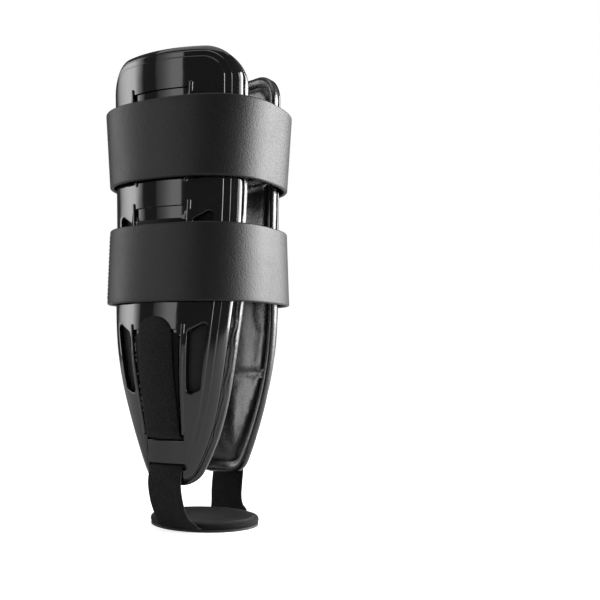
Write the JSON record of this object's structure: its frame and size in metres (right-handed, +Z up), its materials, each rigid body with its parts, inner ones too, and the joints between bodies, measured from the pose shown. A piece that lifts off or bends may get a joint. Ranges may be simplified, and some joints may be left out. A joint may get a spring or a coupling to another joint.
{
  "type": "ankle foot orthosis",
  "caption": "Stirrup-type ankle foot orthosis: a pair of curved shells with padded linings, wide closing straps, and a webbing stirrup under an oval heel pad.",
  "frame": {"origin": "centre of the heel pad's flat underside", "axes": "+Z up the leg, +X to the toes, +Y to the outer side of a left ankle"},
  "size_m": [0.122, 0.1099, 0.308],
  "materials": {
    "shell_plastic": "glossy moulded black",
    "hook_tape": "black hook tape",
    "lining_fabric": "dark grey brushed loop fabric",
    "lining_cushion": "black coated foam, slightly glossy",
    "webbing": "black speckled loop webbing",
    "strap_fabric": "dark grey laminated strap with fine grain",
    "heel_pad_top": "dark grey smooth pad",
    "heel_pad_sole": "matte black"
  },
  "bodies": {
    "heel_stirrup": {"heel_pad_foam": "heel_pad_top", "heel_pad_sole": "heel_pad_sole", "heel_strap_sling": "webbing"},
    "cuff": {"medial_shell": "shell_plastic", "medial_pad_hooks": "hook_tape", "medial_pad_backing": "lining_fabric", "medial_pad_cushion": "lining_cushion", "medial_heel_hook_patch": "hook_tape", "medial_lower_hook_patch": "hook_tape", "medial_upper_hook_patch": "hook_tape", "medial_heel_strap_run": "webbing", "lateral_shell": "shell_plastic", "lateral_pad_hooks": "hook_tape", "lateral_pad_backing": "lining_fabric", "lateral_pad_cushion": "lining_cushion", "lateral_heel_hook_patch": "hook_tape", "lateral_lower_hook_patch": "hook_tape", "lateral_upper_hook_patch": "hook_tape", "lateral_heel_strap_run": "webbing", "upper_strap_centre": "strap_fabric", "lower_strap_centre": "strap_fabric"},
    "upper_front_arm": {"upper_strap_front_arm": "strap_fabric", "upper_strap_hook_pad": "hook_tape"},
    "upper_rear_arm": {"upper_strap_rear_arm": "strap_fabric"},
    "upper_tab": {"upper_strap_tab": "strap_fabric"},
    "lower_front_arm": {"lower_strap_front_arm": "strap_fabric", "lower_strap_hook_pad": "hook_tape"},
    "lower_rear_arm": {"lower_strap_rear_arm": "strap_fabric"},
    "lower_tab": {"lower_strap_tab": "strap_fabric"},
    "medial_tongue": {"medial_heel_tongue": "webbing"},
    "lateral_tongue": {"lateral_heel_tongue": "webbing"}
  },
  "joints": [
    {"name": "ankle_flexion", "type": "hinge", "parent": "heel_stirrup", "child": "cuff", "pos_m": [-0.005, 0, 0.026], "axis": [0, 1, 0], "range_deg": [-12, 12]},
    {"name": "upper_strap_open", "type": "hinge", "parent": "cuff", "child": "upper_front_arm", "pos_m": [0.0455, -0.03287, 0.248], "axis": [-0.0676, -0.0011, -0.9977], "range_deg": [0, 100]},
    {"name": "upper_strap_rear_open", "type": "hinge", "parent": "cuff", "child": "upper_rear_arm", "pos_m": [-0.0545, -0.03287, 0.248], "axis": [-0.0676, 0.0011, 0.9977], "range_deg": [0, 50]},
    {"name": "upper_tab_peel", "type": "hinge", "parent": "upper_front_arm", "child": "upper_tab", "pos_m": [-0.0245, 0.05201, 0.248], "axis": [0.0271, 0.0016, -0.9996], "range_deg": [0, 50]},
    {"name": "lower_strap_open", "type": "hinge", "parent": "cuff", "child": "lower_front_arm", "pos_m": [0.0455, -0.03199, 0.1705], "axis": [0.0179, -0.0402, -0.999], "range_deg": [0, 100]},
    {"name": "lower_strap_rear_open", "type": "hinge", "parent": "cuff", "child": "lower_rear_arm", "pos_m": [-0.0545, -0.03199, 0.1705], "axis": [0.0179, 0.0402, 0.999], "range_deg": [0, 50]},
    {"name": "lower_tab_peel", "type": "hinge", "parent": "lower_front_arm", "child": "lower_tab", "pos_m": [-0.0245, 0.05396, 0.1705], "axis": [-0.0071, 0.0629, -0.998], "range_deg": [0, 50]},
    {"name": "medial_tongue_peel", "type": "hinge", "parent": "cuff", "child": "medial_tongue", "pos_m": [-0.0045, -0.04375, 0.064], "axis": [1, 0, 0], "range_deg": [0, 70]},
    {"name": "lateral_tongue_peel", "type": "hinge", "parent": "cuff", "child": "lateral_tongue", "pos_m": [-0.0045, 0.04375, 0.064], "axis": [-1, 0, 0], "range_deg": [0, 70]}
  ],
  "couplings": [
    {"joint": "upper_strap_rear_open", "follows": "upper_strap_open", "ratio": 0.5},
    {"joint": "lower_strap_rear_open", "follows": "lower_strap_open", "ratio": 0.5}
  ]
}
